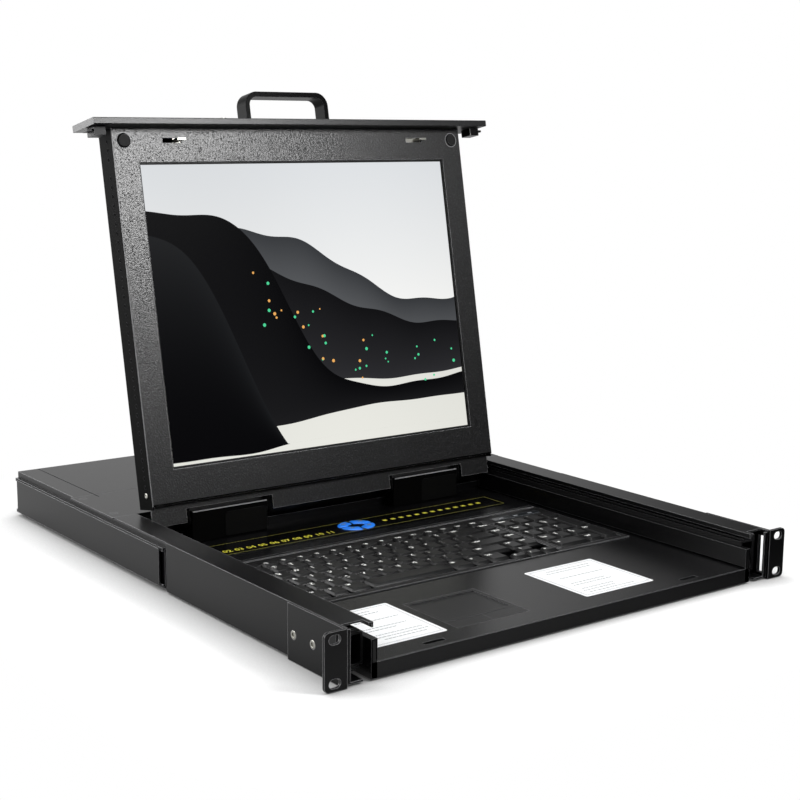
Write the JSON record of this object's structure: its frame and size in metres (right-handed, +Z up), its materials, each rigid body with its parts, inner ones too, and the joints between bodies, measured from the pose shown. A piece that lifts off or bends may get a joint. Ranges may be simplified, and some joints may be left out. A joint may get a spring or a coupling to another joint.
{
  "type": "rackmount LCD console drawer",
  "caption": "Rack console drawer: a keyboard tray on telescopic slides with a fold-up screen lid and rack ears.",
  "frame": {"origin": "centre of the four rack ear slots, in the front plane of the ears", "axes": "+X to the right seen from the front, +Y to the back of the rack, +Z up"},
  "size_m": [0.4826, 0.584, 0.415],
  "materials": {
    "chassis_paint": "satin black powder coat",
    "tray_paint": "satin black powder coat",
    "lid_paint": "fine texture black powder coat",
    "fascia_paint": "black anodised",
    "zinc": "bright zinc",
    "slide_coat": "black electrocoat",
    "bright": "polished",
    "black_screws": "black oxide",
    "black_plastic": "fine grain",
    "key_plastic": "smooth matte",
    "overlay": "printed film",
    "menu_pads": "moulded pads",
    "clear_lens": "smoked clear",
    "screen": "display module",
    "board": "solder mask",
    "module_case": "plain sheet",
    "rubber": "matte"
  },
  "bodies": {
    "chassis": {"side_channel_left": "chassis_paint", "side_channel_right": "chassis_paint", "ear_bracket_left": "chassis_paint", "ear_bracket_right": "chassis_paint", "rail_guide_left": "chassis_paint", "rail_guide_right": "chassis_paint", "slide_outer_left": "slide_coat", "slide_outer_right": "slide_coat", "ear_screws": "black_screws", "front_cover": "chassis_paint", "rear_cover": "chassis_paint", "cover_screws": "black_screws", "base_pan": "chassis_paint", "rear_panel": "chassis_paint", "computer_ports": "zinc", "power_inlet": "black_plastic", "switch_frame": "black_plastic", "main_board": "board", "power_supply": "module_case"},
    "rear_bar_left": {"rear_rail_left": "chassis_paint"},
    "rear_bar_right": {"rear_rail_right": "chassis_paint"},
    "rocker": {"power_rocker": "black_plastic"},
    "middle_slide_left": {"slide_middle_left": "slide_coat"},
    "middle_slide_right": {"slide_middle_right": "slide_coat"},
    "drawer": {"slide_inner_left": "slide_coat", "slide_inner_right": "slide_coat", "keyboard_tray": "tray_paint", "deck_plate": "tray_paint", "keyboard_frame": "black_plastic", "keyboard_base": "module_case", "indicator_lens": "clear_lens", "touchpad": "black_plastic", "control_panel": "overlay", "control_pad": "menu_pads", "hinge_block_left": "black_plastic", "hinge_block_right": "black_plastic", "hinge_pins": "zinc"},
    "keys_function": {"function_keys": "key_plastic"},
    "keys_typing": {"typing_keys": "key_plastic"},
    "keys_space": {"space_bar": "key_plastic"},
    "keys_navigation": {"navigation_keys": "key_plastic"},
    "keys_arrow": {"arrow_keys": "key_plastic"},
    "keys_number": {"number_pad_keys": "key_plastic"},
    "button_left": {"touch_button_left": "key_plastic"},
    "button_right": {"touch_button_right": "key_plastic"},
    "lid": {"lid_bezel": "lid_paint", "lid_shell": "lid_paint", "lcd_panel": "screen", "driver_board": "board", "hinge_arms": "lid_paint", "fascia": "fascia_paint", "handle": "fascia_paint", "bumpers": "rubber"},
    "latch": {"lid_latch": "zinc"},
    "catch_left": {"drawer_catch_left": "bright"},
    "catch_right": {"drawer_catch_right": "bright"}
  },
  "joints": [
    {"name": "drawer_slide", "type": "slide", "parent": "chassis", "child": "drawer", "axis": [0, -1, 0], "range_m": [0, 0.4]},
    {"name": "slide_left", "type": "slide", "parent": "chassis", "child": "middle_slide_left", "axis": [0, -1, 0], "range_m": [0, 0.2]},
    {"name": "slide_right", "type": "slide", "parent": "chassis", "child": "middle_slide_right", "axis": [0, -1, 0], "range_m": [0, 0.2]},
    {"name": "lid_hinge", "type": "hinge", "parent": "drawer", "child": "lid", "pos_m": [0, 0.3527, 0.01197], "axis": [1, 0, 0], "range_deg": [-8, 101]},
    {"name": "latch_slide", "type": "slide", "parent": "lid", "child": "latch", "axis": [-1, 0, 0], "range_m": [0, 0.004], "stiffness_N_per_m": 600, "springref_m": -0.002},
    {"name": "catch_slide_left", "type": "slide", "parent": "lid", "child": "catch_left", "axis": [1, 0, 0], "range_m": [0, 0.003], "stiffness_N_per_m": 600, "springref_m": -0.002},
    {"name": "catch_slide_right", "type": "slide", "parent": "lid", "child": "catch_right", "axis": [-1, 0, 0], "range_m": [0, 0.003], "stiffness_N_per_m": 600, "springref_m": -0.002},
    {"name": "press_typing", "type": "slide", "parent": "drawer", "child": "keys_typing", "axis": [0, 0, -1], "range_m": [0, 0.0022], "stiffness_N_per_m": 1500, "springref_m": -0.001},
    {"name": "press_function", "type": "slide", "parent": "drawer", "child": "keys_function", "axis": [0, 0, -1], "range_m": [0, 0.0022], "stiffness_N_per_m": 500, "springref_m": -0.001},
    {"name": "press_space", "type": "slide", "parent": "drawer", "child": "keys_space", "axis": [0, 0, -1], "range_m": [0, 0.0022], "stiffness_N_per_m": 500, "springref_m": -0.001},
    {"name": "press_navigation", "type": "slide", "parent": "drawer", "child": "keys_navigation", "axis": [0, 0, -1], "range_m": [0, 0.0022], "stiffness_N_per_m": 500, "springref_m": -0.001},
    {"name": "press_arrow", "type": "slide", "parent": "drawer", "child": "keys_arrow", "axis": [0, 0, -1], "range_m": [0, 0.0022], "stiffness_N_per_m": 500, "springref_m": -0.001},
    {"name": "press_number", "type": "slide", "parent": "drawer", "child": "keys_number", "axis": [0, 0, -1], "range_m": [0, 0.0022], "stiffness_N_per_m": 800, "springref_m": -0.001},
    {"name": "press_button_left", "type": "slide", "parent": "drawer", "child": "button_left", "axis": [0, 0, -1], "range_m": [0, 0.0008], "stiffness_N_per_m": 600, "springref_m": -0.0006},
    {"name": "press_button_right", "type": "slide", "parent": "drawer", "child": "button_right", "axis": [0, 0, -1], "range_m": [0, 0.0008], "stiffness_N_per_m": 600, "springref_m": -0.0006},
    {"name": "rear_bar_slide_left", "type": "slide", "parent": "chassis", "child": "rear_bar_left", "axis": [0, 1, 0], "range_m": [0, 0.2]},
    {"name": "rear_bar_slide_right", "type": "slide", "parent": "chassis", "child": "rear_bar_right", "axis": [0, 1, 0], "range_m": [0, 0.2]},
    {"name": "rocker_hinge", "type": "hinge", "parent": "chassis", "child": "rocker", "pos_m": [0.148, 0.577, 0.00017], "axis": [1, 0, 0], "range_deg": [-8, 8]}
  ],
  "couplings": [
    {"joint": "slide_left", "follows": "drawer_slide", "ratio": 0.5},
    {"joint": "slide_right", "follows": "drawer_slide", "ratio": 0.5}
  ]
}
